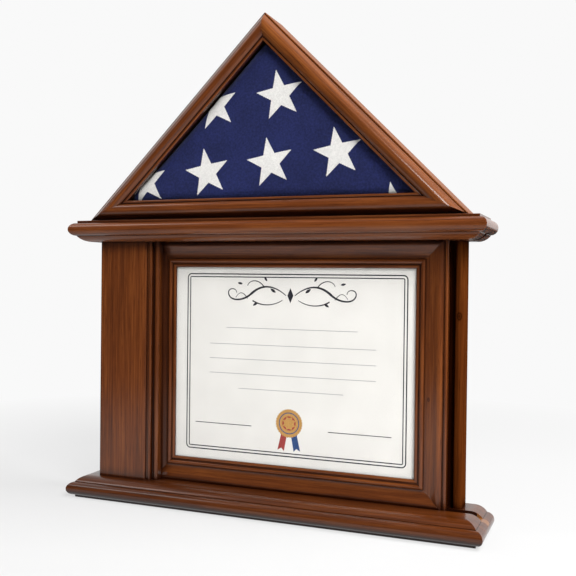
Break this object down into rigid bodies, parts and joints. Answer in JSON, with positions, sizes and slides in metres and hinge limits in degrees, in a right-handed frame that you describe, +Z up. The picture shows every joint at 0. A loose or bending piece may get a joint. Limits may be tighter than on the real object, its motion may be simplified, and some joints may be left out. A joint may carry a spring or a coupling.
{
  "type": "folded flag display case",
  "caption": "Wooden display case: a glazed three-cornered box with a folded flag stands on a pedestal whose glazed certificate frame slides out sideways.",
  "frame": {"origin": "middle of the base board's underside", "axes": "+Z up, -Y towards the front, +X towards the end where the certificate frame slides out"},
  "size_m": [0.464, 0.076, 0.526],
  "materials": {
    "walnut": "satin lacquer over dark walnut stain",
    "hardboard": "raw hardboard",
    "glass": "clear polished",
    "flag_cloth": "woven cloth with sewn white stars",
    "paper": "printed paper",
    "steel": "zinc plated",
    "brass": "plated"
  },
  "bodies": {
    "case": {"base_board": "walnut", "cornice_board": "walnut", "left_post": "walnut", "left_side_board": "walnut", "post_moulding": "walnut", "right_post": "walnut", "pedestal_back_board": "walnut", "flag_left_side": "walnut", "flag_right_side": "walnut", "flag_floor_board": "walnut", "flag_left_moulding": "walnut", "flag_right_moulding": "walnut", "flag_bottom_moulding": "walnut", "flag_back_panel": "hardboard", "base_screws": "steel", "cornice_screws": "steel", "flag_case_screws": "steel", "turn_button_screws": "steel", "flag_glass": "glass", "folded_flag": "flag_cloth"},
    "certificate_frame": {"frame_top_rail": "walnut", "frame_bottom_rail": "walnut", "frame_left_stile": "walnut", "frame_right_stile": "walnut", "certificate_glass": "glass", "certificate_sheet": "paper", "certificate_backing": "hardboard", "frame_points": "steel"},
    "turn_button_left": {"flag_turn_button_left": "brass"},
    "turn_button_right": {"flag_turn_button_right": "brass"},
    "turn_button_bottom": {"flag_turn_button_bottom": "brass"}
  },
  "joints": [
    {"name": "certificate_slide", "type": "slide", "parent": "case", "child": "certificate_frame", "axis": [1, 0, 0], "range_m": [0, 0.3]},
    {"name": "turn_button_left_pivot", "type": "hinge", "parent": "case", "child": "turn_button_left", "pos_m": [-0.10392, 0.0262, 0.41642], "axis": [0, 1, 0], "continuous": true},
    {"name": "turn_button_right_pivot", "type": "hinge", "parent": "case", "child": "turn_button_right", "pos_m": [0.10392, 0.0262, 0.41642], "axis": [0, 1, 0], "continuous": true},
    {"name": "turn_button_bottom_pivot", "type": "hinge", "parent": "case", "child": "turn_button_bottom", "pos_m": [0, 0.0262, 0.3165], "axis": [0, 1, 0], "range_deg": [-90, 90]}
  ]
}
